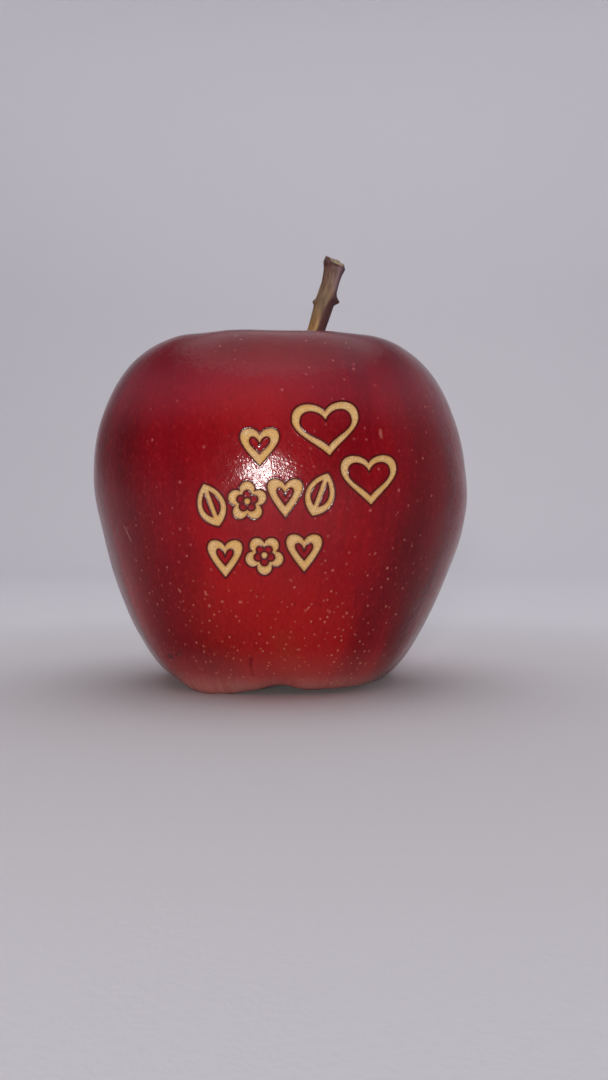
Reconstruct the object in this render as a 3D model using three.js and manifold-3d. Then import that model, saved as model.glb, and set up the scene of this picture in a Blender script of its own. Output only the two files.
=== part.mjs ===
// A ripe red apple standing on its lower lobes, with its stem, its calyx and shallow marks in its skin.
// Millimetres, +Z up along the core, the marked face towards -Y, the resting plane at z = 0.
import * as THREE from 'three';
import { mergeVertices } from 'three/addons/utils/BufferGeometryUtils.js';
import Module from 'manifold-3d';

const wasm = await Module();
wasm.setup();

// Fruit: its profile
const BODY_R = 39.3;
const BODY_H = 69.2;
const WIDEST_Z = 40.5;
const CREST_R = 26.0;
const REST_R = 21.5;
const CAVITY_DEPTH = 13.8;
const BASIN_DEPTH = 9.5;

// Fruit: its five ribs, the furrows between them and its uneven growth
const FURROWS = [-88, -17, 55, 126, 197];
const FEET = [-125, 19, 90.5, 161.5];
const RIB_SWELL = 0.6;
const CREST_WAVE = 0.3;
const FOOT_LIFT = 0.8;
const FURROW_LIFT = 0.95;
const SIDE_SHIFT = 0.8;
const SIDE_SHIFT_Z = 32.5;
const LEAN = 0.3;
const FOOT_PRESS = 0.7;

// Marks: how far they go into the skin
const MARK_DEPTH = 0.45;
const ROW_BAND = 1.55;
const LEAF_RIB = 0.45;

// Stem and calyx: the clearance round their roots
const ROOT_GAP = 0.3;
const STEM_SIDES = 20;

const deg = (a) => (a * Math.PI) / 180;
const clamp = (v, low, high) => Math.min(high, Math.max(low, v));
const v2 = (x, y) => new THREE.Vector2(x, y);
const v3 = (x, y, z) => new THREE.Vector3(x, y, z);

// Solids from geometries and back
function solid(geometry) {
  let g = geometry.index ? geometry.clone() : geometry;
  g.deleteAttribute('normal');
  g.deleteAttribute('uv');
  g = mergeVertices(g, 1e-4);
  const keep = [];
  const idx = g.index.array;
  for (let i = 0; i < idx.length; i += 3) {
    if (idx[i] !== idx[i + 1] && idx[i + 1] !== idx[i + 2] && idx[i] !== idx[i + 2]) {
      keep.push(idx[i], idx[i + 1], idx[i + 2]);
    }
  }
  return new wasm.Manifold(new wasm.Mesh({
    numProp: 3,
    vertProperties: new Float32Array(g.attributes.position.array),
    triVerts: new Uint32Array(keep),
  }));
}

function geometryOf(body) {
  const mesh = body.getMesh();
  const g = new THREE.BufferGeometry();
  g.setAttribute('position', new THREE.BufferAttribute(new Float32Array(mesh.vertProperties), 3));
  g.setIndex(new THREE.BufferAttribute(new Uint32Array(mesh.triVerts), 1));
  g.computeVertexNormals();
  return g;
}

function reshape(geometry, rule) {
  const p = geometry.attributes.position;
  const v = new THREE.Vector3();
  for (let i = 0; i < p.count; i += 1) {
    v.fromBufferAttribute(p, i);
    rule(v);
    p.setXYZ(i, v.x, v.y, v.z);
  }
  return geometry;
}

// The profile from the floor of the basin, out over the resting ring, up the flank and into the cavity
function fruitProfile() {
  const path = new THREE.CurvePath();
  const add = (a, b, c, d) => path.add(new THREE.CubicBezierCurve(v2(...a), v2(...b), v2(...c), v2(...d)));
  add([0, BASIN_DEPTH], [4, BASIN_DEPTH], [REST_R - 5.2, 0], [REST_R, 0]);
  add([REST_R, 0], [REST_R + 6.6, 0], [BODY_R, WIDEST_Z - 11.3], [BODY_R, WIDEST_Z]);
  add([BODY_R, WIDEST_Z], [BODY_R, WIDEST_Z + 18.6], [CREST_R + 4.2, BODY_H], [CREST_R, BODY_H]);
  add([CREST_R, BODY_H], [CREST_R - 8.5, BODY_H], [5.5, BODY_H - CAVITY_DEPTH + 2.8], [0, BODY_H - CAVITY_DEPTH]);
  const steps = [9, 13, 12, 10];
  const points = [];
  path.curves.forEach((curve, n) => {
    for (let i = n ? 1 : 0; i <= steps[n]; i += 1) points.push(curve.getPoint(i / steps[n]));
  });
  points[0].x = 0;
  points[points.length - 1].x = 0;
  return points;
}

// A smooth hump that is 1 at an angle and 0 beyond its half width
function hump(angle, centre, half) {
  const d = ((angle - centre + 540) % 360) - 180;
  return Math.abs(d) < half ? 0.5 + 0.5 * Math.cos((Math.PI * d) / half) : 0;
}

// Ribs, furrows, feet and the fruit's slight lean
function grow(v) {
  const r = Math.hypot(v.x, v.y);
  const z = v.z;
  const theta = Math.atan2(v.y, v.x);
  const angle = (theta * 180) / Math.PI;
  let furrow = 0;
  let crease = 0;
  let foot = 0;
  FURROWS.forEach((a) => {
    furrow += hump(angle, a, 36);
    crease += hump(angle, a, 15);
  });
  FEET.forEach((a) => {
    foot += hump(angle, a, 28);
  });
  const wave = 1 - 2 * furrow;
  const low = Math.exp(-((z / 20) ** 2));
  const ring = Math.exp(-(((r - REST_R) / 8) ** 2)) * Math.exp(-((z / 12) ** 2));
  const crest = Math.exp(-(((r - CREST_R) / 9) ** 2)) * clamp((z - BODY_H + 20) / 20, 0, 1);
  const rr = r + RIB_SWELL * wave * (0.25 + 0.75 * low) * clamp(r / REST_R, 0, 1);
  let zz = z + (FOOT_LIFT * (1 - foot) - FOOT_PRESS * foot + FURROW_LIFT * crease) * ring;
  zz += CREST_WAVE * wave * crest;
  const x = rr * Math.cos(theta) + SIDE_SHIFT * Math.exp(-(((zz - SIDE_SHIFT_Z) / 13) ** 2));
  zz -= LEAN * (x / BODY_R) * Math.sin(Math.PI * clamp(z / BODY_H, 0, 1));
  v.set(x, rr * Math.sin(theta), zz);
}

// The body sunk by a depth along its own normals
function fruitBody(depth) {
  const g = new THREE.LatheGeometry(fruitProfile(), 64);
  g.rotateX(deg(90));
  reshape(g, grow);
  g.deleteAttribute('normal');
  g.deleteAttribute('uv');
  const m = mergeVertices(g, 1e-4);
  m.computeVertexNormals();
  const p = m.attributes.position;
  const n = m.attributes.normal;
  for (let i = 0; i < p.count; i += 1) {
    const x = p.getX(i) - n.getX(i) * depth;
    const y = p.getY(i) - n.getY(i) * depth;
    const z = p.getZ(i) - n.getZ(i) * depth;
    p.setXYZ(i, x, y, depth ? z : Math.max(z, 0));
  }
  return m;
}

// Mark outlines, each round its own centre, x to the right and y up
function heart(w, top, tip, cleft) {
  const s = new THREE.Shape();
  s.moveTo(0, top - cleft);
  s.bezierCurveTo(0.1 * w, top + 0.02 * w, 0.5 * w, top + 0.06 * w, 0.5 * w, top - 0.25 * w);
  s.bezierCurveTo(0.5 * w, top - 0.47 * w, 0.16 * w, tip + 0.2 * w, 0, tip);
  s.bezierCurveTo(-0.16 * w, tip + 0.2 * w, -0.5 * w, top - 0.47 * w, -0.5 * w, top - 0.25 * w);
  s.bezierCurveTo(-0.5 * w, top + 0.06 * w, -0.1 * w, top + 0.02 * w, 0, top - cleft);
  return s;
}

function heartOutline(w, h, cleft, band) {
  const s = heart(w, h / 2, -h / 2, cleft);
  const inner = heart(w - 2.1 * band, h / 2 - band, -h / 2 + 1.35 * band, cleft * 1.25);
  s.holes.push(new THREE.Path(inner.getPoints(7).reverse()));
  return s;
}

function leaf(length, w) {
  const s = new THREE.Shape();
  s.moveTo(0, -length / 2);
  s.bezierCurveTo(0.75 * w, -0.25 * length, 0.6 * w, 0.25 * length, 0, length / 2);
  s.bezierCurveTo(-0.6 * w, 0.25 * length, -0.75 * w, -0.25 * length, 0, -length / 2);
  [1, -1].forEach((side) => {
    const half = new THREE.Path();
    half.moveTo(side * LEAF_RIB, -0.26 * length);
    half.bezierCurveTo(side * 0.42 * w, -0.12 * length, side * 0.36 * w, 0.12 * length, side * LEAF_RIB, 0.3 * length);
    s.holes.push(half);
  });
  return s;
}

function petalRing(radius, reverse) {
  const points = [];
  const around = 40;
  for (let i = 0; i < around; i += 1) {
    const a = deg((i * 360) / around + 90);
    const r = radius * (0.62 + 0.38 * Math.abs(Math.cos(2.5 * (a - deg(90)))) ** 0.7);
    points.push(v2(r * Math.cos(a), r * Math.sin(a)));
  }
  return reverse ? points.reverse() : points;
}

function blossom(radius, band) {
  const s = new THREE.Shape(petalRing(radius, false));
  s.holes.push(new THREE.Path(petalRing(radius - band, true)));
  return s;
}

function dot(radius) {
  const s = new THREE.Shape();
  s.absarc(0, 0, radius, 0, 2 * Math.PI, false);
  return s;
}

// Where each mark sits on the front: shape, x, z, turn in degrees
const MARKS = [
  [heartOutline(11.9, 9.8, 1.75, 1.3), 9.35, 49.2, 6.5],
  [heartOutline(10.3, 9.1, 1.55, 1.25), 17.0, 40.35, 3.5],
  [heartOutline(6.9, 6.9, 1.3, ROW_BAND), -2.35, 45.9, 0],
  [leaf(8.0, 5.0), -10.9, 35.8, 20],
  [blossom(3.5, ROW_BAND), -4.5, 36.4, 0],
  [dot(0.6), -4.5, 36.4, 0],
  [heartOutline(6.2, 6.9, 1.25, ROW_BAND), 2.1, 37.0, 0],
  [leaf(8.0, 5.0), 8.2, 37.6, -20],
  [heartOutline(6.4, 6.9, 1.25, ROW_BAND), -8.6, 26.4, 0],
  [blossom(3.5, ROW_BAND), -1.6, 27.0, 36],
  [dot(0.6), -1.6, 27.0, 0],
  [heartOutline(6.4, 6.9, 1.25, ROW_BAND), 5.4, 27.4, 0],
];

// Prisms that run in through the front of the skin, one for each mark
function markPrism([shape, x, z, turn]) {
  const g = new THREE.ExtrudeGeometry(shape, { depth: 22, bevelEnabled: false, curveSegments: 7 });
  g.rotateZ(deg(turn));
  g.rotateX(deg(90));
  g.translate(x, -22, z);
  return solid(g);
}

// Stem: its line, its thickness and its form along the line
const STEM_LINE = new THREE.CatmullRomCurve3([
  v3(0.9, 0, 53.8),
  v3(1.7, 0, 57.5),
  v3(4.3, -0.2, 65.0),
  v3(7.9, -0.3, 74.3),
  v3(10.05, 0, 81.1),
  v3(11.5, 0.15, 86.5),
  v3(12.15, 0.3, 89.8),
]);
const STEM_THICKNESS = [
  [0.0, 1.6],
  [0.08, 1.7],
  [0.2, 1.6],
  [0.5, 1.8],
  [0.6, 2.0],
  [0.66, 2.15],
  [0.7, 2.0],
  [0.77, 1.86],
  [0.84, 2.05],
  [0.94, 2.35],
  [1.0, 2.15],
];

// Two bract scars, one each side: share of the line, direction in degrees and how far they stand out
const SCARS = [[0.655, 0, 0.8], [0.655, 180, 0.5]];

function stemRadius(t) {
  let i = 1;
  while (i < STEM_THICKNESS.length - 1 && STEM_THICKNESS[i][0] < t) i += 1;
  const [t0, r0] = STEM_THICKNESS[i - 1];
  const [t1, r1] = STEM_THICKNESS[i];
  return r0 + (r1 - r0) * THREE.MathUtils.smoothstep(t, t0, t1);
}

// A straight stem turned on the lathe, then carried along its line and given ridges and an oblique end
function stemGeometry() {
  const rings = 26;
  const points = [v2(0, 0)];
  for (let i = 0; i <= rings; i += 1) points.push(v2(stemRadius(i / rings), i / rings));
  points.push(v2(0.9, 1), v2(0, 1));
  const g = new THREE.LatheGeometry(points, STEM_SIDES);
  return reshape(g, (v) => {
    const t = clamp(v.y, 0, 1);
    const a = Math.atan2(v.z, v.x);
    let r = Math.hypot(v.x, v.z) * (1 + 0.04 * Math.cos(3 * a + 4 * t) + 0.02 * Math.cos(5 * a - 9 * t));
    SCARS.forEach(([share, turn, size]) => {
      r += size * hump((a * 180) / Math.PI, turn, 32) * clamp(1 - Math.abs(t - share) / 0.04, 0, 1);
    });
    const at = STEM_LINE.getPoint(t);
    const along = STEM_LINE.getTangent(t);
    const side = v3(along.z, 0, -along.x).normalize();
    const back = side.clone().cross(along);
    const end = clamp((t - 0.9) / 0.1, 0, 1);
    at.addScaledVector(side, r * Math.cos(a));
    at.addScaledVector(back, r * Math.sin(a));
    at.addScaledVector(along, end * (-0.36 * r * Math.cos(a) + 0.1 * r * Math.sin(2 * a)));
    v.copy(at);
  });
}

// The clearance hole round the stem's root, straight into the floor of the cavity
function stemSocket() {
  const r = 2.0 + ROOT_GAP;
  const g = new THREE.CylinderGeometry(r + 0.4, r, 8, 24);
  g.rotateX(deg(90));
  const foot = STEM_LINE.getPoint(0);
  g.translate(foot.x + 0.4, 0, foot.z - ROOT_GAP - 0.3 + 4);
  return solid(g);
}

// Calyx: a short tube with five dried sepals that bend out and curl back
const CALYX_TOP = 11.6;
const CALYX_R = 2.3;
const SEPAL_LENGTH = 5.6;

function sepal(turn) {
  const s = new THREE.Shape();
  s.moveTo(-1.35, 0);
  s.lineTo(1.35, 0);
  s.bezierCurveTo(1.5, 2.2, 0.75, 3.6, 0.2, SEPAL_LENGTH);
  s.lineTo(-0.2, SEPAL_LENGTH);
  s.bezierCurveTo(-0.75, 3.6, -1.5, 2.2, -1.35, 0);
  const g = new THREE.ExtrudeGeometry(s, { depth: 0.6, bevelEnabled: false, curveSegments: 5 });
  reshape(g, (v) => {
    const u = clamp(v.y / SEPAL_LENGTH, 0, 1);
    const thick = v.z - 0.3;
    const out = 1.3 + 2.3 * Math.sin(u * 2.6);
    const down = 8.7 - 4.4 * u;
    v.set(out + thick + 0.12 * v.x * v.x, -v.x, down);
  });
  g.rotateZ(deg(turn));
  return g;
}

function calyxBody() {
  const tube = new THREE.LatheGeometry([
    v2(0, 7.4),
    v2(1.6, 7.7),
    v2(CALYX_R, 8.3),
    v2(CALYX_R, 9.2),
    v2(1.7, CALYX_TOP - 0.4),
    v2(1.3, CALYX_TOP),
    v2(0, CALYX_TOP),
  ], 20);
  tube.rotateX(deg(90));
  let body = solid(tube);
  FURROWS.forEach((a) => {
    body = body.add(solid(sepal(a + 36)));
  });
  return body;
}

function calyxSocket() {
  const g = new THREE.CylinderGeometry(CALYX_R + ROOT_GAP, CALYX_R + ROOT_GAP, 9, 24);
  g.rotateX(deg(90));
  g.translate(0, 0, CALYX_TOP + ROOT_GAP - 4.5);
  return solid(g);
}

// The fruit: its body less the skin under each mark and the two root holes
const body = solid(fruitBody(0));
const core = solid(fruitBody(MARK_DEPTH));
let fruit = body.subtract(stemSocket()).subtract(calyxSocket());
MARKS.forEach((mark) => {
  fruit = fruit.subtract(markPrism(mark).subtract(core));
});

const skin = new THREE.MeshStandardMaterial({ color: new THREE.Color(0.23, 0.012, 0.016), roughness: 0.32 });
const wood = new THREE.MeshStandardMaterial({ color: new THREE.Color(0.17, 0.085, 0.04), roughness: 0.8 });
const dried = new THREE.MeshStandardMaterial({ color: new THREE.Color(0.12, 0.07, 0.035), roughness: 0.9 });

const fruitMesh = new THREE.Mesh(geometryOf(fruit), skin);
fruitMesh.name = 'fruit';
const stemMesh = new THREE.Mesh(stemGeometry(), wood);
stemMesh.name = 'stem';
const calyxMesh = new THREE.Mesh(geometryOf(calyxBody()), dried);
calyxMesh.name = 'calyx';

// The whole, with the middle of its box over the origin
const apple = new THREE.Group();
apple.add(fruitMesh, stemMesh, calyxMesh);
const box = new THREE.Box3().setFromObject(apple);
apple.position.set(-(box.min.x + box.max.x) / 2, -(box.min.y + box.max.y) / 2, 0);

export default apple;
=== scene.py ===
# A ripe red apple with a leaning stem, its calyx and shallow cream marks burnt into the skin of its front.
# Shapes are worked out in millimetres in the same frame as the solids, then stored in metres.
import math
import random

import bpy
import numpy as np
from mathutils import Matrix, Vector, noise


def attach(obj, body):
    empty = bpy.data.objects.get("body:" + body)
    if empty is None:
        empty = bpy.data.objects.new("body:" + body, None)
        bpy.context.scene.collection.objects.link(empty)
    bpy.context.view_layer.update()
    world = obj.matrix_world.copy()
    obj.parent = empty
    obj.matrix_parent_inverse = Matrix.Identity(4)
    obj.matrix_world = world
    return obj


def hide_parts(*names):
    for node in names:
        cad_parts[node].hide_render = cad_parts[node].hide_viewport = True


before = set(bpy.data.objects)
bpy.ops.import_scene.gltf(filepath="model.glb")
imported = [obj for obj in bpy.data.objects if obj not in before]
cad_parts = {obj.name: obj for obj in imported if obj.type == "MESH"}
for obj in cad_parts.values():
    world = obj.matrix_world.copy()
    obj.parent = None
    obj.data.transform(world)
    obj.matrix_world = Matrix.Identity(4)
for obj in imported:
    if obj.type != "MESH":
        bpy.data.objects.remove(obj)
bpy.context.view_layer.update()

MM = 0.001

# Fruit: its profile, as in the solids
BODY_R = 39.3
BODY_H = 69.2
WIDEST_Z = 40.5
CREST_R = 26.0
REST_R = 21.5
CAVITY_DEPTH = 13.8
BASIN_DEPTH = 9.5

# Fruit: how far its profile runs straight before it bends, at each end of its curves
BASIN_FLAT = 4.0
REST_IN = 5.2
REST_OUT = 6.6
WIDEST_DOWN = 11.3
WIDEST_UP = 18.6
CREST_OUT = 4.2
CREST_IN = 8.5
CAVITY_OUT = 5.5
CAVITY_UP = 2.8

# Fruit: its ribs, furrows, feet and uneven growth, as in the solids
FURROWS = (-88, -17, 55, 126, 197)
FEET = (-125, 19, 90.5, 161.5)
FURROW_HALF = 36
CREASE_HALF = 15
FOOT_HALF = 28
RIB_SWELL = 0.6
CREST_WAVE = 0.3
FOOT_LIFT = 0.8
FOOT_PRESS = 0.7
FURROW_LIFT = 0.95
SIDE_SHIFT = 0.8
SIDE_SHIFT_Z = 32.5
LEAN = 0.3
CENTRE = (-0.524, -0.156)

# Marks: how they are cut
ROW_BAND = 1.55
LEAF_RIB = 0.45
MARK_DEPTH = 0.3
MARK_SLOPE = 0.42
LIP_HEIGHT = 0.05
LIP_WIDTH = 0.16
FAR_MARK = 3.0

# Marks: the part of the front that holds them, by its middle, half width and least depth forward
MARKED_X = 4.0
MARKED_HALF = 26.0
MARKED_Y = -20.0

# Mesh spacing: fine where the marks are, coarser elsewhere
FINE = 0.19
SNAP = 0.45 * FINE
SLOPE_STEP = 0.02
POLE_GAP = 0.6
COARSE_ALONG = 1.4
COARSE_AROUND = 2.4
FRONT_FROM = -24.0
FRONT_TO = 38.0
BAND_LOW = 21.0
BAND_HIGH = 56.0

# Fruit: crown dips, two bruises and a crease low on the front, each a place, a radius and a depth
DENTS = (
    ((-13.4, -22.9, 69.0), 4.5, 0.35),
    ((13.5, -22.4, 69.0), 5.0, 0.35),
    ((-21.0, -20.7, 7.2), 0.9, 0.2),
    ((-19.0, -23.3, 8.0), 0.8, 0.18),
    ((-4.9, -28.2, 7.8), 0.7, 0.15),
    ((-5.1, -27.0, 6.0), 0.7, 0.2),
)

# Stem: its line and thickness, as in the solids
STEM_LINE = (
    (0.9, 0.0, 53.8),
    (1.7, 0.0, 57.5),
    (4.3, -0.2, 65.0),
    (7.9, -0.3, 74.3),
    (10.05, 0.0, 81.1),
    (11.5, 0.15, 86.5),
    (12.15, 0.3, 89.8),
)
STEM_THICKNESS = (
    (0.0, 1.6),
    (0.08, 1.75),
    (0.2, 1.65),
    (0.5, 1.82),
    (0.6, 1.98),
    (0.66, 2.08),
    (0.70, 1.92),
    (0.77, 1.86),
    (0.84, 2.02),
    (0.93, 2.32),
    (0.97, 2.3),
    (1.0, 2.12),
)
STEM_RINGS = 190
STEM_SIDES = 96
STEM_SOFTEN = 6

# Stem: scars, ridges and folds, each an angle, a share of the length, a width, a length and a height
KNOBS = (
    (math.pi, 0.636, 0.34, 0.013, 0.5),
    (0.0, 0.672, 0.4, 0.016, 0.85),
    (0.0, 0.69, 0.5, 0.02, 0.25),
    (-0.8, 0.674, 0.5, 0.012, 0.16),
    (-1.6, 0.655, 0.6, 0.012, 0.10),
    (0.1, 0.90, 0.7, 0.05, 0.22),
    (2.9, 0.95, 0.6, 0.03, 0.15),
    (-2.1, 0.93, 0.45, 0.03, 0.14),
    (-1.1, 0.945, 0.35, 0.025, 0.16),
    (-0.5, 0.80, 0.4, 0.06, 0.07),
)

# Stem: how far in the rings of its torn end lie, as shares of the rim
TORN_RINGS = (0.9, 0.78, 0.64, 0.5, 0.36, 0.22, 0.1)

# Calyx: its tube as radii and heights, its sepals and its threads
TUBE = ((0.01, 7.9), (1.2, 7.8), (1.9, 8.1), (2.2, 8.6), (2.2, 9.3), (1.7, 11.0), (0.01, 11.3))
TUBE_SIDES = 40
SEPAL_LENGTH = 4.3
SEPAL_ROWS = 18
SEPAL_ACROSS = 9
SEPAL_TURN = 36
THREADS = 16
THREAD_SIDES = 6
THREAD_RADII = (0.09, 0.09, 0.09, 0.09, 0.09, 0.17, 0.05)

# The camera, level with the lower third of the fruit
CAMERA = (4.856, -205.156, 29.67)
LENS = 31.91
SENSOR = 36.0


# Curves and humps
def bezier(a, b, c, d, t):
    """Points of a cubic curve at the parameters t."""
    a, b, c, d = (np.array(p, float) for p in (a, b, c, d))
    t = np.asarray(t, float)[:, None]
    return a * (1 - t) ** 3 + 3 * b * t * (1 - t) ** 2 + 3 * c * t * t * (1 - t) + d * t**3


def hump(angle, centre, half):
    """1 at an angle and 0 beyond its half width, in degrees."""
    d = (angle - centre + 540) % 360 - 180
    return np.where(np.abs(d) < half, 0.5 + 0.5 * np.cos(np.pi * d / half), 0.0)


def smooth(x, low, high):
    """0 below low, 1 above high, smooth between them."""
    t = np.clip((x - low) / (high - low), 0, 1)
    return t * t * (3 - 2 * t)


# The fruit's form
def fruit_profile():
    """Fine points of the profile from the basin's floor to the cavity's floor, and their path length."""
    t = np.linspace(0, 1, 400)
    basin, rest, widest = (0, BASIN_DEPTH), (REST_R, 0), (BODY_R, WIDEST_Z)
    crest, cavity = (CREST_R, BODY_H), (0, BODY_H - CAVITY_DEPTH)
    parts = (
        bezier(basin, (BASIN_FLAT, BASIN_DEPTH), (REST_R - REST_IN, 0), rest, t),
        bezier(rest, (REST_R + REST_OUT, 0), (BODY_R, WIDEST_Z - WIDEST_DOWN), widest, t),
        bezier(widest, (BODY_R, WIDEST_Z + WIDEST_UP), (CREST_R + CREST_OUT, BODY_H), crest, t),
        bezier(crest, (CREST_R - CREST_IN, BODY_H), (CAVITY_OUT, cavity[1] + CAVITY_UP), cavity, t),
    )
    points = np.vstack([parts[0]] + [p[1:] for p in parts[1:]])
    path = np.concatenate([[0], np.cumsum(np.hypot(*np.diff(points, axis=0).T))])
    return points, path


def grow(angle, r, z):
    """The grown surface for an azimuth in degrees and a profile radius and height."""
    furrow = sum(hump(angle, a, FURROW_HALF) for a in FURROWS)
    crease = sum(hump(angle, a, CREASE_HALF) for a in FURROWS)
    foot = sum(hump(angle, a, FOOT_HALF) for a in FEET)
    wave = 1 - 2 * furrow
    low = np.exp(-((z / 20) ** 2))
    ring = np.exp(-(((r - REST_R) / 8) ** 2)) * np.exp(-((z / 12) ** 2))
    crest = np.exp(-(((r - CREST_R) / 9) ** 2)) * np.clip((z - BODY_H + 20) / 20, 0, 1)
    rr = r + RIB_SWELL * wave * (0.25 + 0.75 * low) * np.clip(r / REST_R, 0, 1)
    zz = z + (FOOT_LIFT * (1 - foot) - FOOT_PRESS * foot + FURROW_LIFT * crease) * ring
    zz = zz + CREST_WAVE * wave * crest
    rad = np.radians(angle)
    x = rr * np.cos(rad) + SIDE_SHIFT * np.exp(-(((zz - SIDE_SHIFT_Z) / 13) ** 2))
    zz = zz - LEAN * (x / BODY_R) * np.sin(np.pi * np.clip(z / BODY_H, 0, 1))
    y = rr * np.sin(rad)
    return np.stack([x + CENTRE[0], y + CENTRE[1], np.maximum(zz, 0)], axis=-1)


# Mark outlines, each round its own centre, x to the right and y up
def heart(w, top, tip, cleft):
    t = np.linspace(0, 1, 28)
    side = (0.5 * w, top - 0.25 * w)
    lobe = bezier((0, top - cleft), (0.1 * w, top + 0.02 * w), (0.5 * w, top + 0.06 * w), side, t)
    flank = bezier(side, (0.5 * w, top - 0.47 * w), (0.16 * w, tip + 0.2 * w), (0, tip), t)
    right = np.vstack([lobe, flank[1:]])
    return np.vstack([right, right[-2:0:-1] * (-1, 1)])


def heart_outline(w, h, cleft, band):
    inner = heart(w - 2.1 * band, h / 2 - band, -h / 2 + 1.35 * band, cleft * 1.25)
    return [heart(w, h / 2, -h / 2, cleft), inner]


def leaf(length, w):
    t = np.linspace(0, 1, 28)
    half = length / 2
    side = bezier((0, -half), (0.75 * w, -0.5 * half), (0.6 * w, 0.5 * half), (0, half), t)
    low, high = (LEAF_RIB, -0.52 * half), (LEAF_RIB, 0.6 * half)
    pane = bezier(low, (0.42 * w, -0.24 * half), (0.36 * w, 0.24 * half), high, t)
    return [np.vstack([side, side[-2:0:-1] * (-1, 1)]), pane, pane * (-1, 1)]


def petal_ring(radius):
    a = np.radians(np.linspace(0, 360, 160, endpoint=False))
    r = radius * (0.62 + 0.38 * np.abs(np.cos(2.5 * a)) ** 0.7)
    return np.stack([-r * np.sin(a), r * np.cos(a)], axis=1)


def blossom(radius, band, eye):
    a = np.radians(np.linspace(0, 360, 40, endpoint=False))
    return [petal_ring(radius), petal_ring(radius - band), eye * np.stack([np.cos(a), np.sin(a)], axis=1)]


# Each mark: its outlines, its place across and up, and its turn in degrees
MARKS = (
    (heart_outline(11.9, 9.8, 1.75, 1.3), 9.35, 49.2, 6.5),
    (heart_outline(10.3, 9.1, 1.55, 1.25), 17.0, 40.35, 3.5),
    (heart_outline(6.9, 6.9, 1.3, ROW_BAND), -2.35, 45.9, 0),
    (leaf(8.0, 5.0), -10.9, 35.8, 20),
    (blossom(3.5, ROW_BAND, 0.6), -4.5, 36.4, 0),
    (heart_outline(6.2, 6.9, 1.25, ROW_BAND), 2.1, 37.0, 0),
    (leaf(8.0, 5.0), 8.2, 37.6, -20),
    (heart_outline(6.4, 6.9, 1.25, ROW_BAND), -8.6, 26.4, 0),
    (blossom(3.5, ROW_BAND, 0.6), -1.6, 27.0, 36),
    (heart_outline(6.4, 6.9, 1.25, ROW_BAND), 5.4, 27.4, 0),
)


def placed_loops(mark):
    loops, x, z, turn = mark
    c, s = math.cos(math.radians(turn)), math.sin(math.radians(turn))
    spin = np.array([[c, s], [-s, c]])
    return [loop @ spin + (x + CENTRE[0], z) for loop in loops]


def signed_distance(points):
    """Distance in mm from the marks' outlines, negative inside a mark, capped far away."""
    best = np.full(len(points), FAR_MARK)
    for mark in MARKS:
        loops = placed_loops(mark)
        every = np.vstack(loops)
        low, high = every.min(0) - FAR_MARK, every.max(0) + FAR_MARK
        near = np.where(((points > low) & (points < high)).all(1))[0]
        p = points[near]
        distance = np.full(len(near), 1e9)
        inside = np.zeros(len(near), bool)
        for loop in loops:
            for a, b in zip(loop, np.roll(loop, -1, axis=0)):
                ab = b - a
                t = np.clip(((p - a) @ ab) / max(ab @ ab, 1e-12), 0, 1)
                distance = np.minimum(distance, np.hypot(*(p - a - t[:, None] * ab).T))
                if a[1] != b[1]:
                    span = (a[1] > p[:, 1]) != (b[1] > p[:, 1])
                    inside ^= span & (p[:, 0] < ab[0] * (p[:, 1] - a[1]) / ab[1] + a[0])
        value = np.where(inside, -distance, distance)
        best[near] = np.minimum(best[near], value)
    return best


# Meshes
def mesh_object(name, points, faces):
    mesh = bpy.data.meshes.new(name)
    mesh.from_pydata([tuple(p) for p in np.asarray(points) * MM], [], faces)
    mesh.validate()
    mesh.update()
    mesh.shade_smooth()
    piece = bpy.data.objects.new(name, mesh)
    bpy.context.scene.collection.objects.link(piece)
    return piece


def store(piece, name, values):
    """A number, or three numbers, for each vertex, kept with the mesh for its material."""
    values = np.asarray(values, np.float32)
    if values.ndim == 1:
        piece.data.attributes.new(name, "FLOAT", "POINT").data.foreach_set("value", values)
    else:
        piece.data.attributes.new(name, "FLOAT_VECTOR", "POINT").data.foreach_set("vector", values.ravel())


def spaced(low, high, step):
    return list(np.linspace(low, high, max(2, int(round((high - low) / step)) + 1)))


def vertex_normals(points, faces):
    faces = np.asarray(faces)
    a, b, c, d = (points[faces[:, i]] for i in range(4))
    n = np.cross(c - a, d - b)
    out = np.zeros_like(points)
    for i in range(4):
        np.add.at(out, faces[:, i], n)
    return out / np.maximum(np.linalg.norm(out, axis=1)[:, None], 1e-12)


# The fruit: one surface, fine over the marks
def fruit_lines():
    """The path lengths and azimuths of the surface's rows and columns."""
    points, path = fruit_profile()
    flank = (points[:, 0] > REST_R) & (points[:, 1] < BODY_H - 1)
    band = flank & (points[:, 1] > BAND_LOW) & (points[:, 1] < BAND_HIGH)
    start, end, last = path[band][0], path[band][-1], path[-1]
    rows = spaced(POLE_GAP, start, COARSE_ALONG)[:-1] + spaced(start, end, FINE)
    rows += spaced(end, last - POLE_GAP, COARSE_ALONG)[1:]
    columns = spaced(FRONT_FROM, FRONT_TO, math.degrees(FINE / BODY_R))
    columns += spaced(FRONT_TO, FRONT_FROM + 360, COARSE_AROUND)[1:-1]
    return np.array(rows), np.array(columns) - 90, points, path


def uneven(points):
    """Slow swells of the skin, up to about a tenth of a millimetre."""
    out = np.empty(len(points))
    for i, p in enumerate(points):
        v = Vector(p)
        out[i] = 0.10 * noise.noise(v / 9.0) + 0.045 * noise.noise(v / 3.6 + Vector((7, 3, 1)))
    return out


def dents(points):
    """How far the small hollows sink the skin."""
    out = np.zeros(len(points))
    for centre, radius, depth in DENTS:
        d = np.linalg.norm(points - np.array(centre), axis=1)
        out -= depth * np.exp(-((d / radius) ** 2))
    return out


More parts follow.
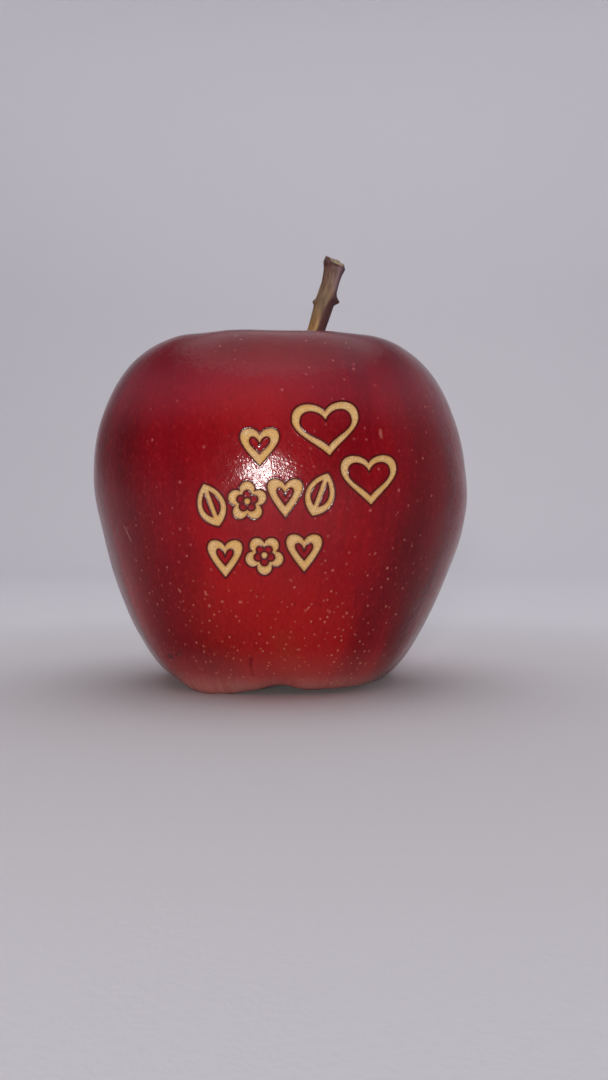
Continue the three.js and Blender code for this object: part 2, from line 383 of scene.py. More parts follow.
def make_fruit():
    rows, columns, profile, path = fruit_lines()
    r = np.interp(rows, path, profile[:, 0])
    z = np.interp(rows, path, profile[:, 1])
    n, m = len(rows), len(columns)
    angle, rr = np.meshgrid(columns, r)
    zz = np.repeat(z[:, None], m, axis=1)
    points = grow(angle, rr, zz).reshape(-1, 3)
    index = np.arange(n * m).reshape(n, m)
    right = np.roll(index, -1, axis=1)
    quads = np.stack([index[:-1], right[:-1], right[1:], index[1:]], axis=-1).reshape(-1, 4)
    normals = vertex_normals(points, quads)

    # Marks: vertices near an outline slide onto it, then the skin inside is sunk and its lip raised
    mark = np.full(len(points), FAR_MARK)
    in_marks = (points[:, 1] < MARKED_Y) & (np.abs(points[:, 0] - MARKED_X) < MARKED_HALF)
    front = np.where(in_marks)[0]
    flat = points[front][:, (0, 2)]
    value = signed_distance(flat)
    gx, gz = (
        (signed_distance(flat + step) - signed_distance(flat - step)) / (2 * SLOPE_STEP)
        for step in (np.array((SLOPE_STEP, 0)), np.array((0, SLOPE_STEP)))
    )
    move = np.where(np.abs(value) < SNAP, -value, 0.0)
    nf = normals[front]
    forward = -(nf[:, 0] * gx + nf[:, 2] * gz) / nf[:, 1]
    points[front] += np.stack([move * gx, forward * move, move * gz], axis=1)
    mark[front] = np.where(np.abs(value) < SNAP, 0.0, value)
    sunk = -MARK_DEPTH * smooth(-mark, 0.0, MARK_SLOPE)
    lip = LIP_HEIGHT * np.exp(-(((mark - LIP_WIDTH) / LIP_WIDTH) ** 2))
    keep_feet = smooth(points[:, 2], 0.0, 4.0)
    relief = sunk + lip + (uneven(points) + dents(points)) * keep_feet
    points = points + normals * relief[:, None]

    # The two poles close the surface
    for pole_z in (BASIN_DEPTH, BODY_H - CAVITY_DEPTH):
        points = np.vstack([points, grow(np.array([0.0]), np.array([0.0]), np.array([pole_z]))])
    low_pole, high_pole = n * m, n * m + 1
    faces = [tuple(int(i) for i in q) for q in quads]
    faces += [(low_pole, int(right[0, j]), int(index[0, j])) for j in range(m)]
    faces += [(high_pole, int(index[-1, j]), int(right[-1, j])) for j in range(m)]
    piece = mesh_object("fruit_skin", points, faces)

    rad = np.radians(np.append(angle.ravel(), (0, 0)))
    along = np.append(np.repeat(rows, m), (0, path[-1]))
    radius = np.append(rr.ravel(), (0, 0))
    height = np.append(zz.ravel(), (BASIN_DEPTH, BODY_H - CAVITY_DEPTH))
    store(piece, "mark", np.append(mark, (FAR_MARK, FAR_MARK)))
    store(piece, "grain", np.stack([BODY_R * np.cos(rad), BODY_R * np.sin(rad), along], axis=1))
    store(piece, "hollow", np.where(height > 45, 1 - smooth(radius, 2.0, 15.0), 0))
    store(piece, "eye", np.where(height < 20, 1 - smooth(radius, 2.0, 13.0), 0))
    return piece


# The stem
def catmull(points, t):
    """A point and direction on a smooth line through points, t from 0 to 1."""
    points = np.array(points, float)
    k = len(points) - 1
    i = min(int(t * k), k - 1)
    u = t * k - i
    p1, p2 = points[i], points[i + 1]
    p0 = points[i - 1] if i > 0 else 2 * p1 - p2
    p3 = points[i + 2] if i + 2 <= k else 2 * p2 - p1
    a, b, c = 2 * p1, p2 - p0, 2 * p0 - 5 * p1 + 4 * p2 - p3
    d = -p0 + 3 * p1 - 3 * p2 + p3
    at = 0.5 * (a + b * u + c * u * u + d * u**3)
    way = 0.5 * (b + 2 * c * u + 3 * d * u * u)
    return at, way / np.linalg.norm(way)


def bark(a, t, length):
    """Height of the bark over the stem's plain round, in mm, at an angle and a share of the length."""
    around = Vector((1.2 * math.cos(a), 1.2 * math.sin(a), 0.10 * length * t))
    ridges = Vector((3.4 * math.cos(a), 3.4 * math.sin(a), 0.12 * length * t))
    rough = Vector((3 * math.cos(a), 3 * math.sin(a), 1.1 * length * t))
    h = 0.10 * noise.noise(around) + 0.05 * noise.noise(ridges)
    h += 0.06 * noise.noise(rough) * (0.25 + 0.75 * smooth(t, 0.6, 0.85))
    return h


def stem_knobs(a, t):
    """Two pointed bract scars joined by a low ridge, and folds near the end."""
    h = 0.0
    for angle, place, wide, tall, high in KNOBS:
        d = (a - angle + math.pi) % (2 * math.pi) - math.pi
        h += high * math.exp(-((d / wide) ** 2) - ((t - place) / tall) ** 2)
    return h


def make_stem():
    sides = STEM_SIDES
    ts = np.linspace(0, 1, STEM_RINGS)
    line = np.array([catmull(STEM_LINE, t)[0] for t in ts])
    length = float(np.sum(np.linalg.norm(np.diff(line, axis=0), axis=1)))
    radii = np.interp(ts, *zip(*STEM_THICKNESS))
    window = 2 * STEM_SOFTEN + 1
    radii = np.convolve(np.pad(radii, STEM_SOFTEN, mode="edge"), np.ones(window) / window, mode="valid")
    points, share, turn, end = [], [], [], []
    for t, radius in zip(ts, radii):
        at, way = catmull(STEM_LINE, t)
        side = np.cross((0, 1, 0), way)
        side /= np.linalg.norm(side)
        back = np.cross(way, side)
        for k in range(sides):
            a = 2 * math.pi * k / sides
            r = radius * (1 + 0.03 * math.cos(3 * a + 4 * t)) + bark(a, t, length) + stem_knobs(a, t)
            tear = float(smooth(t, 0.9, 1.0))
            lift = -0.32 * math.cos(a) + 0.52 * math.sin(a) - 0.2 + 0.06 * math.sin(2 * a)
            lift += 0.16 * noise.noise(Vector((2.4 * math.cos(a), 2.4 * math.sin(a), 5)))
            offset = side * (r * math.cos(a)) + back * (r * math.sin(a)) + way * (radius * lift * tear)
            points.append(at + offset + (CENTRE[0], CENTRE[1], 0))
            share.append(t)
            turn.append(a)
            end.append(0.0)
    index = np.arange(STEM_RINGS * sides).reshape(STEM_RINGS, sides)
    right = np.roll(index, -1, axis=1)
    quads = np.stack([index[:-1], right[:-1], right[1:], index[1:]], axis=-1).reshape(-1, 4)
    faces = [tuple(int(i) for i in q) for q in quads]

    # The torn end: rings that close in over a ragged, slightly hollow pith
    rim = np.array(points[-sides:])
    middle = rim.mean(0)
    _, way = catmull(STEM_LINE, 1.0)
    last = index[-1]
    for step, inward in enumerate(TORN_RINGS):
        start = len(points)
        for k in range(sides):
            a = 2 * math.pi * k / sides
            p = middle + (rim[k] - middle) * inward
            fibre = noise.noise(Vector(p) * 2.2) * 0.2 + noise.noise(Vector(p) * 5.0) * 0.1
            dome = 0.06 if step == 0 else -0.1 * (1 - inward)
            points.append(p + way * (fibre + dome))
            share.append(1.0)
            turn.append(a)
            end.append(float(smooth(1 - inward, 0.05, 0.3)))
        ring = np.arange(start, start + sides)
        for k in range(sides):
            j = (k + 1) % sides
            faces.append((int(last[k]), int(last[j]), int(ring[j]), int(ring[k])))
        last = ring
    points.append(middle - way * 0.2)
    faces += [(int(last[k]), int(last[(k + 1) % sides]), len(points) - 1) for k in range(sides)]
    share.append(1.0)
    turn.append(0.0)
    end.append(1.0)
    first = index[0]
    foot, _ = catmull(STEM_LINE, 0.0)
    points.append(foot + (CENTRE[0], CENTRE[1], -0.2))
    faces += [(int(first[(k + 1) % sides]), int(first[k]), len(points) - 1) for k in range(sides)]
    share.append(0.0)
    turn.append(0.0)
    end.append(0.0)
    piece = mesh_object("stem_bark", points, faces)
    share, turn = np.array(share), np.array(turn)
    store(piece, "share", share)
    store(piece, "torn", end)
    store(piece, "fibre", np.stack([1.5 * np.cos(turn), 1.5 * np.sin(turn), length * share], axis=1))
    return piece


# The calyx: a short tube, five dried sepals and a tuft of dry threads
def sheet_strip(centre_line, half_widths, cup, thick):
    """A thin curled blade along points of (out, down) with a half width at each, as points and faces."""
    across = SEPAL_ACROSS
    top, under = [], []
    for (out, height), half in zip(centre_line, half_widths):
        for k in range(across):
            s = 2 * k / (across - 1) - 1
            top.append((out + cup * (s * half) ** 2, s * half, height))
            under.append((out + cup * (s * half) ** 2 - thick, s * half * 0.96, height))
    n = len(centre_line)
    index = np.arange(n * across).reshape(n, across)
    other = index + n * across
    faces = []
    for i in range(n - 1):
        for k in range(across - 1):
            a, b, c, d = index[i, k], index[i, k + 1], index[i + 1, k + 1], index[i + 1, k]
            faces.append((a, b, c, d))
            a, b, c, d = other[i, k], other[i, k + 1], other[i + 1, k + 1], other[i + 1, k]
            faces.append((d, c, b, a))
        for k, flip in ((0, False), (across - 1, True)):
            quad = (index[i, k], index[i + 1, k], other[i + 1, k], other[i, k])
            faces.append(quad[::-1] if flip else quad)
    for i, flip in ((0, True), (n - 1, False)):
        for k in range(across - 1):
            quad = (index[i, k], index[i, k + 1], other[i, k + 1], other[i, k])
            faces.append(quad[::-1] if not flip else quad)
    return np.array(top + under), [tuple(int(v) for v in f) for f in faces]


def make_calyx():
    random.seed(11)
    points, faces, share = [], [], []

    def take(new_points, new_faces, turn, value):
        c, s = math.cos(math.radians(turn)), math.sin(math.radians(turn))
        base = len(points)
        for p in new_points:
            points.append((c * p[0] - s * p[1] + CENTRE[0], s * p[0] + c * p[1] + CENTRE[1], p[2]))
        faces.extend(tuple(v + base for v in f) for f in new_faces)
        share.extend(value)

    # The tube
    sides = TUBE_SIDES
    ring_points = []
    for r, height in TUBE:
        for k in range(sides):
            a = 2 * math.pi * k / sides
            rough = noise.noise(Vector((2 * math.cos(a), 2 * math.sin(a), height)))
            ribbed = 1 + 0.06 * math.sin(5 * a) + 0.05 * rough
            ring_points.append((r * ribbed * math.cos(a), r * ribbed * math.sin(a), height))
    ring_faces = []
    for i in range(len(TUBE) - 1):
        for k in range(sides):
            j = (k + 1) % sides
            ring_faces.append((i * sides + k, i * sides + j, (i + 1) * sides + j, (i + 1) * sides + k))
    ring_faces.append(tuple(range(sides - 1, -1, -1)))
    ring_faces.append(tuple((len(TUBE) - 1) * sides + k for k in range(sides)))
    take(ring_points, ring_faces, 0, [0.3] * len(ring_points))

    # The sepals bend out, then their tips curl back
    for azimuth in FURROWS:
        length, curl = random.uniform(0.92, 1.05), random.uniform(2.3, 2.9)
        u = np.linspace(0, 1, SEPAL_ROWS)
        line = np.stack([1.2 + 2.3 * np.sin(u * curl), 8.7 - SEPAL_LENGTH * length * u], axis=1)
        half = 1.35 * (1 - u) ** 0.55 * (1 + 0.25 * np.sin(np.pi * u)) + 0.05
        blade, blade_faces = sheet_strip(line, half, 0.12, 0.32)
        wrinkle = [0.12 * noise.noise(Vector(p) * 1.4 + Vector((azimuth, 0, 0))) for p in blade]
        blade[:, 0] += wrinkle
        value = list(0.35 + 0.65 * np.repeat(u, SEPAL_ACROSS)) * 2
        take(blade, blade_faces, azimuth + SEPAL_TURN + random.uniform(-5, 5), value)

    # Dry threads in the middle
    sides, spans = THREAD_SIDES, len(THREAD_RADII) - 1
    for _ in range(THREADS):
        azimuth, out = random.uniform(0, 360), random.uniform(0.2, 1.1)
        tall, lean = random.uniform(1.6, 2.9), random.uniform(0.1, 0.9)
        thread, thread_faces = [], []
        for i, r in enumerate(THREAD_RADII):
            f = i / spans
            for k in range(sides):
                a = 2 * math.pi * k / sides
                x = out + lean * f * f + r * math.cos(a)
                thread.append((x, r * math.sin(a), 8.2 - tall * f))
        for i in range(0, spans * sides, sides):
            for k in range(sides):
                j = (k + 1) % sides
                thread_faces.append((i + k, i + sides + k, i + sides + j, i + j))
        thread_faces.append(tuple(range(sides)))
        thread_faces.append(tuple(spans * sides + k for k in range(sides - 1, -1, -1)))
        take(thread, thread_faces, azimuth, [0.8] * len(thread))
    piece = mesh_object("calyx_sepals", points, faces)
    store(piece, "share", share)
    return piece


# Materials
class Nodes:
    """Short calls that add shader nodes to one material."""

    def __init__(self, name):
        self.material = bpy.data.materials.new(name)
        self.material.use_nodes = True
        self.tree = self.material.node_tree
        self.shader = self.tree.nodes["Principled BSDF"]

    def node(self, kind, **settings):
        made = self.tree.nodes.new(kind)
        for key, value in settings.items():
            setattr(made, key, value)
        return made

    def put(self, value, socket):
        if isinstance(value, bpy.types.NodeSocket):
            self.tree.links.new(value, socket)
        else:
            socket.default_value = value

    def math(self, operation, a, b=0.0, c=0.0, clamp=False):
        made = self.node("ShaderNodeMath", operation=operation, use_clamp=clamp)
        for value, socket in zip((a, b, c), made.inputs):
            self.put(value, socket)
        return made.outputs[0]

    def vector(self, operation, a, b=(0, 0, 0), scale=1.0):
        made = self.node("ShaderNodeVectorMath", operation=operation)
        self.put(a, made.inputs[0])
        if operation == "SCALE":
            self.put(scale, made.inputs["Scale"])
        else:
            self.put(b, made.inputs[1])
        return made.outputs["Value" if operation in ("LENGTH", "DOT_PRODUCT") else "Vector"]

    def axes(self, vector):
        made = self.node("ShaderNodeSeparateXYZ")
        self.put(vector, made.inputs[0])
        return made.outputs

    def step(self, value, low, high, to_low=0.0, to_high=1.0):
        made = self.node("ShaderNodeMapRange", interpolation_type="SMOOTHSTEP")
        for v, socket in zip((value, low, high, to_low, to_high), made.inputs):
            self.put(v, socket)
        return made.outputs[0]

    def mix(self, factor, a, b):
        made = self.node("ShaderNodeMix", data_type="RGBA")
        made.clamp_factor = True
        self.put(factor, made.inputs["Factor"])
        self.put(a, made.inputs[6])
        self.put(b, made.inputs[7])
        return made.outputs[2]

    def attribute(self, name, output="Fac"):
        return self.node("ShaderNodeAttribute", attribute_name=name).outputs[output]

    def position_mm(self):
        geometry = self.node("ShaderNodeNewGeometry")
        return self.vector("SCALE", geometry.outputs["Position"], scale=1000.0)

    def noise(self, vector, scale, detail=2.0, roughness=0.5):
        made = self.node("ShaderNodeTexNoise")
        self.put(vector, made.inputs["Vector"])
        made.inputs["Scale"].default_value = scale
        made.inputs["Detail"].default_value = detail
        made.inputs["Roughness"].default_value = roughness
        return made.outputs["Fac"]

    def cells(self, vector, scale):
        made = self.node("ShaderNodeTexVoronoi", feature="F1")
        self.put(vector, made.inputs["Vector"])
        made.inputs["Scale"].default_value = scale
        return made

    def bump(self, height, strength, distance, before=None):
        made = self.node("ShaderNodeBump")
        self.put(height, made.inputs["Height"])
        made.inputs["Strength"].default_value = strength
        made.inputs["Distance"].default_value = distance
        if before is not None:
            self.put(before, made.inputs["Normal"])
        return made.outputs["Normal"]

    def capsule(self, position, a, b, radius, soft):
        """1 within a radius of the segment from a to b, fading to 0 over a soft rim."""
        ab = Vector(b) - Vector(a)
        from_a = self.vector("SUBTRACT", position, a)
        along = self.vector("DOT_PRODUCT", from_a, tuple(ab))
        t = self.math("DIVIDE", along, ab.length_squared, clamp=True)
        nearest = self.vector("SCALE", tuple(ab), scale=t)
        d = self.vector("LENGTH", self.vector("SUBTRACT", from_a, nearest))
        return self.step(d, radius, radius + soft, 1.0, 0.0)

    def tinted(self, colour, position, patches):
        """A colour with soft patches on it: ends, radius, soft rim, tint and most strength of each."""
        for a, b, radius, soft, tint, most in patches:
            patch = self.capsule(position, a, b, radius, soft)
            colour = self.mix(self.math("MULTIPLY", patch, most), colour, tint)
        return colour


def rgb(r, g, b):
    """A colour given as on a screen, 0 to 255, in the linear values that a shader takes."""
    shares = (c / 255 for c in (r, g, b))
    linear = (s / 12.92 if s <= 0.04045 else ((s + 0.055) / 1.055) ** 2.4 for s in shares)
    return (*linear, 1.0)


# Slow tones: painted light down the middle of the front, painted shade that darkens the flanks and the
# upper left, an ochre streak low on the front, and warm flushes high and low that are the skin's own
# colour
FLUSHES_AND_PAINTED_LIGHT = (
    ((-3, -38, 50), (0, -36, 22), 6.0, 17.0, rgb(154, 11, 22), 0.55),
    ((-31, -22, 46), (-15, -26, 10), 3.5, 12.0, rgb(76, 3, 13), 0.65),
    ((-23, -29, 58), (-21, -33, 40), 3.0, 9.0, rgb(92, 5, 15), 0.4),
    ((1, -31, 11), (3, -26, 5), 0.5, 3.5, rgb(120, 58, 30), 0.45),
    ((29, -25, 50), (27, -24, 24), 3.0, 17.0, rgb(78, 3, 13), 0.6),
    ((-4, -35, 58), (0, -33, 61), 3.0, 11.0, rgb(162, 26, 22), 0.6),
    ((-6, -32, 16), (2, -30, 12), 5.0, 12.0, rgb(160, 26, 20), 0.55),
    ((30, 22, 34), (24, 26, 20), 6.0, 16.0, rgb(164, 32, 22), 0.5),
    ((-24, 28, 50), (-28, 20, 40), 5.0, 15.0, rgb(158, 20, 22), 0.5),
)

# Small harm: two bruises, a crease, a scuff and thin scratches
HARMS = (
    ((-21.4, -20.2, 7.1), (-20.6, -21.1, 7.3), 0.25, 0.55, rgb(52, 12, 18), 0.6),
    ((-19.4, -22.9, 7.8), (-18.7, -23.6, 8.2), 0.15, 0.6, rgb(60, 13, 19), 0.45),
    ((-4.9, -28.2, 7.8), (-5.05, -27.2, 6.4), 0.1, 0.45, rgb(72, 14, 18), 0.45),
    ((-5.05, -27.2, 6.4), (-4.7, -25.7, 4.3), 0.08, 0.4, rgb(78, 16, 20), 0.32),
    ((5.8, -33.0, 17.5), (4.8, -32.7, 16.3), 0.09, 0.2, rgb(206, 140, 112), 0.8),
    ((-29.1, -24.7, 32.3), (-27.6, -25.3, 29.5), 0.07, 0.18, rgb(176, 118, 112), 0.5),
    ((18.5, -33.9, 49.2), (18.6, -34.0, 48.1), 0.12, 0.4, rgb(186, 104, 90), 0.5),
)

# Pores: each layer's cells to a millimetre, its radius and its share of cells, None where height sets it
SPARSE_PORES = (0.36, 0.32, 0.85)
CLOSE_PORES = (0.70, 0.26, None)


def skin_material():
    n = Nodes("apple_skin")
    place = n.position_mm()
    grain = n.attribute("grain", "Vector")
    mark = n.attribute("mark")
    hollow = n.attribute("hollow")
    eye = n.attribute("eye")

    # Deep crimson in soft bands and faint streaks that run from pole to pole
    bands = n.noise(n.vector("MULTIPLY", grain, (1.0, 1.0, 0.30)), 0.10, 1.5, 0.45)
    streaks = n.noise(n.vector("MULTIPLY", grain, (1.0, 1.0, 0.12)), 0.75, 3.0, 0.6)
    colour = n.mix(n.step(bands, 0.30, 0.66), rgb(104, 6, 16), rgb(146, 10, 22))
    colour = n.mix(n.step(streaks, 0.52, 0.80, 0.0, 0.35), colour, rgb(162, 17, 24))
    colour = n.mix(n.step(streaks, 0.50, 0.22, 0.0, 0.25), colour, rgb(78, 4, 12))
    flecks = n.noise(n.vector("MULTIPLY", grain, (1.0, 1.0, 0.6)), 1.5, 3.0, 0.65)

    # Painted light on the middle of the front and painted shade on its flanks, together with the skin's
    # own flushes
    colour = n.tinted(colour, place, FLUSHES_AND_PAINTED_LIGHT)

    # Fine flecks under the skin
    colour = n.mix(n.step(flecks, 0.52, 0.76, 0.0, 0.3), colour, rgb(182, 44, 44))
    colour = n.mix(n.step(flecks, 0.48, 0.26, 0.0, 0.3), colour, rgb(78, 3, 12))

    # A painted pink reflection round the shoulders, painted shade that darkens the crest to plum, and a
    # painted pale reflection at the lowest edge
    parts = n.axes(place)
    to_right, height = parts["X"], parts["Z"]
    painted_shoulder_reflection = n.math("MULTIPLY", n.step(height, 48.0, 60.0, 0.0, 0.23), n.step(height, 66.0, 60.0))
    colour = n.mix(painted_shoulder_reflection, colour, rgb(170, 84, 102))
    colour = n.mix(n.step(height, 52.0, 68.0, 0.0, 0.8), colour, rgb(98, 9, 27))
    outer = n.step(n.axes(grain)["Z"], 4.0, 28.0)
    painted_low_reflection = n.step(height, 11.0, 1.0, 0.0, 0.6)
    painted_low_reflection = n.math("MULTIPLY", painted_low_reflection, n.math("MULTIPLY_ADD", outer, 0.5, 0.5))
    colour = n.mix(painted_low_reflection, colour, rgb(164, 78, 76))
    painted_edge_reflection = n.math("MULTIPLY", n.step(height, 5.0, 0.4), n.step(streaks, 0.3, 0.65, 0.24, 0.48))
    colour = n.mix(n.math("MULTIPLY", painted_edge_reflection, outer), colour, rgb(196, 140, 128))

    # The hollows at the two ends turn to ochre green with a russet net, in uneven rays round the stem
    net = n.noise(place, 0.9, 4.0, 0.7)
    ground = n.mix(n.step(net, 0.4, 0.62), rgb(150, 118, 52), rgb(122, 78, 42))
    rays = n.noise(n.vector("MULTIPLY", grain, (1.0, 1.0, 0.05)), 0.16, 3.0, 0.6)
    reach = n.math("ADD", hollow, n.math("MULTIPLY_ADD", rays, 1.1, -0.6))
    russet = n.math("MULTIPLY", n.step(reach, 0.12, 1.0), n.step(streaks, 0.25, 0.6, 0.5, 1.0))
    colour = n.mix(n.math("MULTIPLY", russet, n.step(hollow, 0.02, 0.3)), colour, ground)
    green = n.math("MULTIPLY", n.step(eye, 0.0, 0.8), n.step(streaks, 0.25, 0.6, 0.2, 0.6))
    colour = n.mix(green, colour, rgb(140, 98, 54))
    colour = n.mix(n.math("MULTIPLY", n.step(eye, 0.45, 0.98), 0.85), colour, ground)

    # Pale pores: a sparse scatter all over and a closer one towards the base, both fainter on the left
    low_down = n.step(height, 6.0, 40.0, 1.0, 0.0)
    pores = 0.0
    for density, radius, share in (SPARSE_PORES, CLOSE_PORES):
        layer = n.cells(grain, density)
        shade = n.node("ShaderNodeSeparateColor")
        n.put(layer.outputs["Color"], shade.inputs[0])
        reach = radius * density
        dot = n.step(layer.outputs["Distance"], 0.3 * reach, 1.35 * reach, 1.0, 0.0)
        dot = n.math("MULTIPLY", dot, n.step(shade.outputs[0], 0.1, 0.9, 0.35, 1.0))
        kept = share if share else n.math("MULTIPLY_ADD", low_down, 0.95, 0.05)
        dot = n.math("MULTIPLY", dot, n.math("LESS_THAN", shade.outputs[1], kept))
        pores = n.math("MAXIMUM", pores, dot)
    outside = n.step(mark, 0.2, 0.45)
    pores = n.math("MULTIPLY", pores, outside)
    pore_tint = n.mix(low_down, rgb(196, 104, 100), rgb(206, 130, 102))
    sunny = n.step(to_right, -30.0, 4.0, 0.4, 0.7)
    colour = n.mix(n.math("MULTIPLY", pores, sunny), colour, pore_tint)

    colour = n.tinted(colour, place, HARMS)

    # The marks: a burnt edge, then dried cream flesh with a fine speckle
    ragged = n.math("MULTIPLY_ADD", n.noise(place, 2.6, 3.0, 0.6), 0.12, -0.06)
    edge = n.math("ADD", mark, ragged)
    burnt = n.mix(n.noise(place, 3.5, 2.0), rgb(50, 8, 12), rgb(92, 22, 20))
    speckle = n.noise(place, 4.2, 3.0, 0.65)
    patches = n.noise(place, 0.5, 2.0, 0.5)
    flesh = n.mix(n.step(speckle, 0.38, 0.64), rgb(202, 156, 98), rgb(232, 198, 144))
    flesh = n.mix(n.step(patches, 0.42, 0.66, 0.0, 0.55), flesh, rgb(214, 164, 84))
    specks = n.cells(place, 2.1)
    speck = n.step(specks.outputs["Distance"], 0.10, 0.28, 0.4, 0.0)
    flesh = n.mix(speck, flesh, rgb(160, 118, 54))
    flesh = n.mix(n.step(edge, -0.5, -0.12, 0.0, 0.35), flesh, rgb(176, 112, 62))
    colour = n.mix(n.step(edge, 0.14, 0.42, 0.92, 0.0), colour, burnt)
    cream = n.step(edge, -0.14, -0.04, 1.0, 0.0)
    colour = n.mix(cream, colour, flesh)

    # Fine wax grain and soft orange peel on the skin, coarser grit in the marks
    peel = n.noise(grain, 0.55, 2.0, 0.5)
    wax = n.noise(n.vector("MULTIPLY", grain, (1.0, 1.0, 0.7)), 2.7, 2.0, 0.6)
    grit = n.noise(place, 5.2, 4.0, 0.7)
    normal = n.bump(peel, 0.25, 0.00025)
    normal = n.bump(wax, 0.6, 0.00008, normal)
    normal = n.bump(pores, 0.3, 0.0001, normal)
    normal = n.bump(n.math("MULTIPLY", grit, cream), 0.5, 0.0002, normal)

    # Waxy skin, dull marks, and a stronger gloss where the skin faces the view, weaker towards the rim
    waxy = n.step(n.noise(place, 0.3, 3.0, 0.6), 0.3, 0.7, 0.14, 0.19)
    rough = n.node("ShaderNodeMix", data_type="FLOAT")
    n.put(n.step(edge, -0.15, 0.05, 1.0, 0.0), rough.inputs["Factor"])
    n.put(waxy, rough.inputs[2])
    n.put(0.72, rough.inputs[3])
    n.put(colour, n.shader.inputs["Base Color"])
    n.put(rough.outputs[0], n.shader.inputs["Roughness"])
    n.put(normal, n.shader.inputs["Normal"])
    rim = n.node("ShaderNodeLayerWeight")
    rim.inputs["Blend"].default_value = 0.5
    n.shader.inputs["Specular IOR Level"].default_value = 0.2
    n.put(n.step(rim.outputs["Facing"], 0.01, 0.12, 0.42, 0.18), n.shader.inputs["Specular IOR Level"])
    return n.material


def stem_material():
    n = Nodes("stem_bark")
    place = n.position_mm()
    share = n.attribute("share")
    torn = n.attribute("torn")
    fibre = n.attribute("fibre", "Vector")
    to_right = n.axes(fibre)["X"]
    long_grain = n.noise(n.vector("MULTIPLY", fibre, (1.0, 1.0, 0.12)), 2.0, 4.0, 0.6)
    blotch = n.noise(n.vector("MULTIPLY", fibre, (1.0, 1.0, 0.4)), 0.7, 3.0, 0.55)

    # Golden by the fruit, olive brown half way, red brown at the end
    golden = n.mix(n.step(long_grain, 0.34, 0.66), rgb(140, 96, 44), rgb(186, 142, 74))
    middle = n.mix(n.step(long_grain, 0.34, 0.66), rgb(98, 72, 50), rgb(142, 112, 82))
    upper = n.mix(n.step(long_grain, 0.34, 0.66), rgb(86, 54, 48), rgb(124, 88, 74))
    place_along = n.math("ADD", share, n.math("MULTIPLY_ADD", blotch, 0.16, -0.08))
    colour = n.mix(n.step(place_along, 0.44, 0.64), golden, middle)
    colour = n.mix(n.step(place_along, 0.66, 0.86), colour, upper)
    collar = n.math("MULTIPLY", n.step(place_along, 0.86, 0.92), n.step(blotch, 0.35, 0.6, 0.4, 1.0))
    colour = n.mix(n.math("MULTIPLY", collar, 0.85), colour, rgb(70, 28, 30))

    # Painted shade: the right side is darkened to a plum red, broad below the scars and narrow above them,
    # with a pale painted sheen on it above the scars
    start = n.step(share, 0.58, 0.72, 0.15, 0.95)
    painted_shade_right = n.step(n.math("SUBTRACT", to_right, start), -0.25, 0.3)
    colour = n.mix(n.math("MULTIPLY", painted_shade_right, 0.9), colour, rgb(72, 24, 32))
    painted_sheen = n.math("MULTIPLY", n.step(to_right, 0.25, 0.8), n.step(to_right, 1.45, 1.0))
    painted_sheen = n.math("MULTIPLY", painted_sheen, n.step(share, 0.66, 0.76))
    colour = n.mix(n.math("MULTIPLY", painted_sheen, 0.45), colour, rgb(168, 138, 140))

    # Dark flecks, an olive root, the torn end's pale pith, and the bark's fine relief
    flecks = n.noise(place, 1.8, 4.0, 0.7)
    colour = n.mix(n.step(flecks, 0.62, 0.74, 0.0, 0.45), colour, rgb(52, 34, 28))
    colour = n.mix(n.step(share, 0.0, 0.2, 0.75, 0.0), colour, rgb(104, 98, 48))
    cut = n.mix(n.step(n.noise(place, 2.4, 4.0, 0.7), 0.35, 0.65), rgb(118, 94, 60), rgb(172, 152, 106))
    colour = n.mix(n.step(torn, 0.1, 0.5), colour, cut)
    relief = n.noise(n.vector("MULTIPLY", fibre, (1.0, 1.0, 0.22)), 3.6, 4.0, 0.65)
    normal = n.bump(relief, 0.5, 0.00018)
    normal = n.bump(flecks, 0.3, 0.0001, normal)
    n.put(colour, n.shader.inputs["Base Color"])
    n.put(n.step(long_grain, 0.3, 0.7, 0.72, 0.5), n.shader.inputs["Roughness"])
    n.put(normal, n.shader.inputs["Normal"])
    return n.material


def calyx_material():
    n = Nodes("dried_sepals")
    place = n.position_mm()
    share = n.attribute("share")
    veins = n.noise(n.vector("MULTIPLY", place, (1.6, 1.6, 0.5)), 1.5, 4.0, 0.65)
    colour = n.mix(n.step(veins, 0.32, 0.68), rgb(70, 46, 28), rgb(134, 104, 66))
    colour = n.mix(n.step(share, 0.75, 1.0, 0.0, 0.7), colour, rgb(48, 32, 22))
    n.put(colour, n.shader.inputs["Base Color"])
    n.shader.inputs["Roughness"].default_value = 0.9
    n.put(n.bump(veins, 0.6, 0.0002), n.shader.inputs["Normal"])
    return n.material


def dress(piece, node, material):
    piece.data.materials.append(material)
    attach(piece, "root")
    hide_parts(node)


dress(make_fruit(), "fruit", skin_material())
dress(make_stem(), "stem", stem_material())
dress(make_calyx(), "calyx", calyx_material())


# Stage: a pale round floor that rises into a wall all round, dimmer behind the camera and on the left
FLOOR_TONE = rgb(218, 215, 217)
WALL_TONE = rgb(233, 230, 234)
HIGH_TONE = rgb(250, 248, 252)
DIM_TONE = rgb(156, 154, 157)
FLOOR_GAP = 0.00002
FLOOR_MIDDLE = 0.3
FLOOR_R = 0.62
BEND_R = 0.3
BEND_STEPS = 12
WALL_HEIGHTS = (0.9, 1.5)
STAGE_SIDES = 96


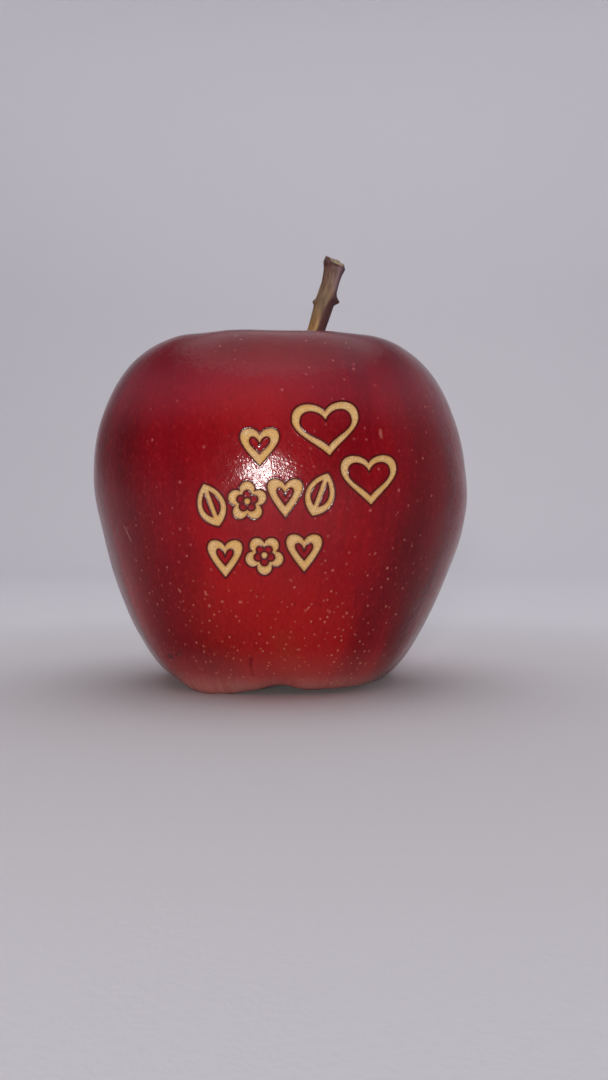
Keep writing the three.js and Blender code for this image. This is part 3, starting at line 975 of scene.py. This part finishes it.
def make_stage():
    sides = STAGE_SIDES
    profile = [(FLOOR_MIDDLE, -FLOOR_GAP), (FLOOR_R, -FLOOR_GAP)]
    for i in range(1, BEND_STEPS + 1):
        a = math.radians(90 * i / BEND_STEPS)
        profile.append((FLOOR_R + BEND_R * math.sin(a), BEND_R * (1 - math.cos(a)) - FLOOR_GAP))
    profile += [(FLOOR_R + BEND_R, z) for z in WALL_HEIGHTS]
    points, faces = [], []
    for r, z in profile:
        for k in range(sides):
            a = 2 * math.pi * k / sides
            points.append((r * math.cos(a), r * math.sin(a), z))
    centre = len(points)
    points.append((0, 0, -FLOOR_GAP))
    for k in range(sides):
        faces.append((centre, k, (k + 1) % sides))
    for i in range(len(profile) - 1):
        for k in range(sides):
            j = (k + 1) % sides
            faces.append((i * sides + k, (i + 1) * sides + k, (i + 1) * sides + j, i * sides + j))
    floor = mesh_object("floor", np.array(points) / MM, faces)
    n = Nodes("floor_cloth")
    place = n.position_mm()
    parts = n.axes(place)
    behind = n.step(parts["Y"], -120.0, -480.0)
    left = n.step(parts["X"], -360.0, -560.0)
    raised = n.step(parts["Z"], 5.0, 160.0)
    pale = n.mix(n.step(n.vector("LENGTH", place), 70.0, 190.0), FLOOR_TONE, WALL_TONE)
    pale = n.mix(n.step(parts["Z"], 60.0, 600.0), pale, HIGH_TONE)
    dim = n.math("MULTIPLY", n.math("MAXIMUM", behind, left), raised)
    n.put(n.mix(dim, pale, DIM_TONE), n.shader.inputs["Base Color"])
    n.shader.inputs["Roughness"].default_value = 1.0
    n.shader.inputs["Specular IOR Level"].default_value = 0.0
    n.put(n.bump(n.noise(place, 1.2, 2.0), 0.1, 0.0003), n.shader.inputs["Normal"])
    floor.data.materials.append(n.material)


# Light: a small lamp by the camera, up and left, a soft sky and a broad soft lamp overhead
def lamp(name, place, target, size, power, colour, spread=180):
    """A round lamp that isn't seen itself, placed and aimed in metres, its spread in degrees."""
    light = bpy.data.lights.new(name, "AREA")
    light.shape = "DISK"
    light.size = size
    light.energy = power
    light.color = colour
    light.spread = math.radians(spread)
    made = bpy.data.objects.new(name, light)
    made.location = place
    made.visible_camera = False
    made.rotation_euler = (Vector(target) - Vector(place)).to_track_quat("-Z", "Y").to_euler()
    bpy.context.scene.collection.objects.link(made)


make_stage()
lamp(
    "by_camera",
    place=(-0.10, -0.78, 0.095),
    target=(0, 0, 0.037),
    size=0.07,
    power=0.238,
    colour=(1.0, 0.98, 0.96),
    spread=50,
)
lamp(
    "overhead",
    place=(0, 0.1, 0.85),
    target=(0, 0.1, 0),
    size=1.2,
    power=3.0,
    colour=(0.98, 0.98, 1.0),
)

world = bpy.data.worlds.new("soft_sky")
world.use_nodes = True
sky = world.node_tree.nodes["Background"]
sky.inputs["Color"].default_value = (0.93, 0.93, 1.0, 1)
sky.inputs["Strength"].default_value = 0.55
bpy.context.scene.world = world
bpy.context.scene.view_settings.view_transform = "Standard"

# Camera
lens = bpy.data.cameras.new("camera")
lens.lens = LENS
lens.sensor_width = SENSOR
lens.clip_start = 0.01
camera = bpy.data.objects.new("camera", lens)
camera.location = Vector(CAMERA) * MM
camera.rotation_euler = (math.radians(90), 0, 0)
bpy.context.scene.collection.objects.link(camera)
bpy.context.scene.camera = camera
